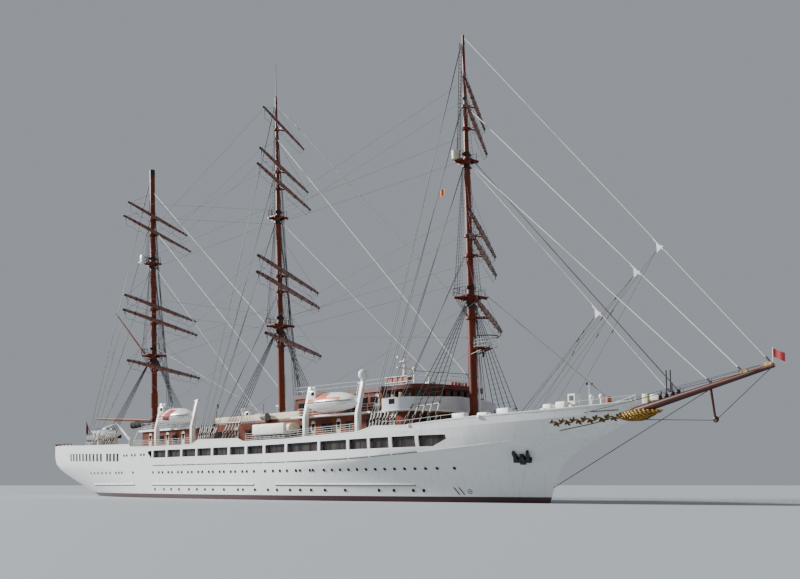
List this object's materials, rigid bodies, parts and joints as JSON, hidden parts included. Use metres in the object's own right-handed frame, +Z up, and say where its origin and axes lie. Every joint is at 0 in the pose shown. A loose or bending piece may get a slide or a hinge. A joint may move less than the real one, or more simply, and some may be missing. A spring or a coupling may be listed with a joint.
{
  "type": "tall ship model, three-masted full-rigged passenger ship, one to ten",
  "caption": "Model of a three-masted full-rigged passenger ship with its hull, deckhouses, boats and spars; yards brace, spanker spars swing, rudder, propeller and radar turn.",
  "frame": {"origin": "at the water, amidships on the centreline, where the ship floats", "axes": "+X to the bow, +Y to port, +Z up"},
  "size_m": [13.8191, 2.3165, 6.745],
  "materials": {
    "hull_white": "satin white ship paint",
    "deck_teak": "scrubbed teak planks with dark seams",
    "house_mahogany": "varnished orange-brown mahogany",
    "roof_paint": "dark red-brown gloss paint",
    "spar_paint": "glossy red-brown spar paint",
    "gilding": "gilded carving",
    "anchor_black": "black anchor paint",
    "rudder_red": "dull red underwater paint",
    "propeller_bronze": "cast bronze",
    "stay_wire": "served steel wire, dark"
  },
  "bodies": {
    "ship": {"hull": "hull_white", "promenade_side_starboard": "hull_white", "promenade_side_port": "hull_white", "bulwark": "hull_white", "boat_deck": "hull_white", "bridge_wings": "hull_white", "lifeboat_fore_starboard": "hull_white", "lifeboat_fore_port": "hull_white", "lifeboat_aft_starboard": "hull_white", "lifeboat_aft_port": "hull_white", "davits_fore_starboard": "hull_white", "davits_fore_port": "hull_white", "davits_aft_starboard": "hull_white", "davits_aft_port": "hull_white", "radar_mast": "hull_white", "satellite_dome": "hull_white", "windlass": "hull_white", "stern_crane": "hull_white", "work_boat": "hull_white", "deck_planking": "deck_teak", "deckhouse_midship": "house_mahogany", "deckhouse_aft": "house_mahogany", "deckhouse_upper": "house_mahogany", "wheelhouse": "house_mahogany", "bridge_roof": "roof_paint", "mast_fore": "spar_paint", "mast_main": "spar_paint", "mast_mizzen": "spar_paint", "bowsprit": "spar_paint", "figurehead": "gilding", "anchor_starboard": "anchor_black", "anchor_port": "anchor_black", "stay_fore_royal": "stay_wire", "stay_fore_topmast": "stay_wire", "stay_fore_lower": "stay_wire", "stay_main_royal": "stay_wire", "stay_main_topmast": "stay_wire", "stay_mizzen_topmast": "stay_wire"},
    "fore_course_yard": {"yard_fore_course": "spar_paint"},
    "fore_lower_topsail_yard": {"yard_fore_lower_topsail": "spar_paint"},
    "fore_upper_topsail_yard": {"yard_fore_upper_topsail": "spar_paint"},
    "fore_lower_topgallant_yard": {"yard_fore_lower_topgallant": "spar_paint"},
    "fore_upper_topgallant_yard": {"yard_fore_upper_topgallant": "spar_paint"},
    "main_course_yard": {"yard_main_course": "spar_paint"},
    "main_lower_topsail_yard": {"yard_main_lower_topsail": "spar_paint"},
    "main_upper_topsail_yard": {"yard_main_upper_topsail": "spar_paint"},
    "main_lower_topgallant_yard": {"yard_main_lower_topgallant": "spar_paint"},
    "main_upper_topgallant_yard": {"yard_main_upper_topgallant": "spar_paint"},
    "main_royal_yard": {"yard_main_royal": "spar_paint"},
    "mizzen_course_yard": {"yard_mizzen_course": "spar_paint"},
    "mizzen_lower_topsail_yard": {"yard_mizzen_lower_topsail": "spar_paint"},
    "mizzen_upper_topsail_yard": {"yard_mizzen_upper_topsail": "spar_paint"},
    "mizzen_lower_topgallant_yard": {"yard_mizzen_lower_topgallant": "spar_paint"},
    "mizzen_upper_topgallant_yard": {"yard_mizzen_upper_topgallant": "spar_paint"},
    "spanker_gaff_spar": {"spanker_gaff": "spar_paint"},
    "spanker_boom_spar": {"spanker_boom": "spar_paint"},
    "rudder_blade": {"rudder": "rudder_red"},
    "propeller_screw": {"propeller": "propeller_bronze"},
    "radar_aerial": {"radar_scanner": "hull_white"}
  },
  "joints": [
    {"name": "fore_course_brace", "type": "hinge", "parent": "ship", "child": "fore_course_yard", "pos_m": [3.90985, 0, 2.056], "axis": [0, 0, 1], "range_deg": [-85.9, 14.1]},
    {"name": "fore_lower_topsail_brace", "type": "hinge", "parent": "ship", "child": "fore_lower_topsail_yard", "pos_m": [3.88751, 0, 2.772], "axis": [0, 0, 1], "range_deg": [-85.9, 14.1]},
    {"name": "fore_upper_topsail_brace", "type": "hinge", "parent": "ship", "child": "fore_upper_topsail_yard", "pos_m": [3.88034, 0, 3.002], "axis": [0, 0, 1], "range_deg": [-85.9, 14.1]},
    {"name": "fore_lower_topgallant_brace", "type": "hinge", "parent": "ship", "child": "fore_lower_topgallant_yard", "pos_m": [3.84093, 0, 4.265], "axis": [0, 0, 1], "range_deg": [-85.9, 14.1]},
    {"name": "fore_upper_topgallant_brace", "type": "hinge", "parent": "ship", "child": "fore_upper_topgallant_yard", "pos_m": [3.83251, 0, 4.535], "axis": [0, 0, 1], "range_deg": [-85.9, 14.1]},
    {"name": "main_course_brace", "type": "hinge", "parent": "ship", "child": "main_course_yard", "pos_m": [0.28012, 0, 2.094], "axis": [0, 0, 1], "range_deg": [-85.9, 14.1]},
    {"name": "main_lower_topsail_brace", "type": "hinge", "parent": "ship", "child": "main_lower_topsail_yard", "pos_m": [0.24162, 0, 2.852], "axis": [0, 0, 1], "range_deg": [-85.9, 14.1]},
    {"name": "main_upper_topsail_brace", "type": "hinge", "parent": "ship", "child": "main_upper_topsail_yard", "pos_m": [0.23039, 0, 3.073], "axis": [0, 0, 1], "range_deg": [-85.9, 14.1]},
    {"name": "main_lower_topgallant_brace", "type": "hinge", "parent": "ship", "child": "main_lower_topgallant_yard", "pos_m": [0.16643, 0, 4.332], "axis": [0, 0, 1], "range_deg": [-85.9, 14.1]},
    {"name": "main_upper_topgallant_brace", "type": "hinge", "parent": "ship", "child": "main_upper_topgallant_yard", "pos_m": [0.15399, 0, 4.577], "axis": [0, 0, 1], "range_deg": [-85.9, 14.1]},
    {"name": "main_royal_brace", "type": "hinge", "parent": "ship", "child": "main_royal_yard", "pos_m": [0.12239, 0, 5.199], "axis": [0, 0, 1], "range_deg": [-85.9, 14.1]},
    {"name": "mizzen_course_brace", "type": "hinge", "parent": "ship", "child": "mizzen_course_yard", "pos_m": [-3.18488, 0, 2.032], "axis": [0, 0, 1], "range_deg": [-85.9, 14.1]},
    {"name": "mizzen_lower_topsail_brace", "type": "hinge", "parent": "ship", "child": "mizzen_lower_topsail_yard", "pos_m": [-3.23459, 0, 2.798], "axis": [0, 0, 1], "range_deg": [-85.9, 14.1]},
    {"name": "mizzen_upper_topsail_brace", "type": "hinge", "parent": "ship", "child": "mizzen_upper_topsail_yard", "pos_m": [-3.24984, 0, 3.033], "axis": [0, 0, 1], "range_deg": [-85.9, 14.1]},
    {"name": "mizzen_lower_topgallant_brace", "type": "hinge", "parent": "ship", "child": "mizzen_lower_topgallant_yard", "pos_m": [-3.33097, 0, 4.283], "axis": [0, 0, 1], "range_deg": [-85.9, 14.1]},
    {"name": "mizzen_upper_topgallant_brace", "type": "hinge", "parent": "ship", "child": "mizzen_upper_topgallant_yard", "pos_m": [-3.34771, 0, 4.541], "axis": [0, 0, 1], "range_deg": [-85.9, 14.1]},
    {"name": "gaff_swing", "type": "hinge", "parent": "ship", "child": "spanker_gaff_spar", "pos_m": [-3.19124, 0, 2.13], "axis": [0, 0, 1], "range_deg": [-35, 35]},
    {"name": "boom_swing", "type": "hinge", "parent": "ship", "child": "spanker_boom_spar", "pos_m": [-3.13218, 0, 1.22], "axis": [0, 0, 1], "range_deg": [-35, 35]},
    {"name": "rudder_turn", "type": "hinge", "parent": "ship", "child": "rudder_blade", "pos_m": [-4.69, 0, -0.15], "axis": [0, 0, 1], "range_deg": [-35, 35]},
    {"name": "propeller_turn", "type": "hinge", "parent": "ship", "child": "propeller_screw", "pos_m": [-4.42, 0, -0.39], "axis": [1, 0, 0], "continuous": true},
    {"name": "radar_turn", "type": "hinge", "parent": "ship", "child": "radar_aerial", "pos_m": [3.02, -0.2, 1.66], "axis": [0, 0, 1], "continuous": true}
  ]
}
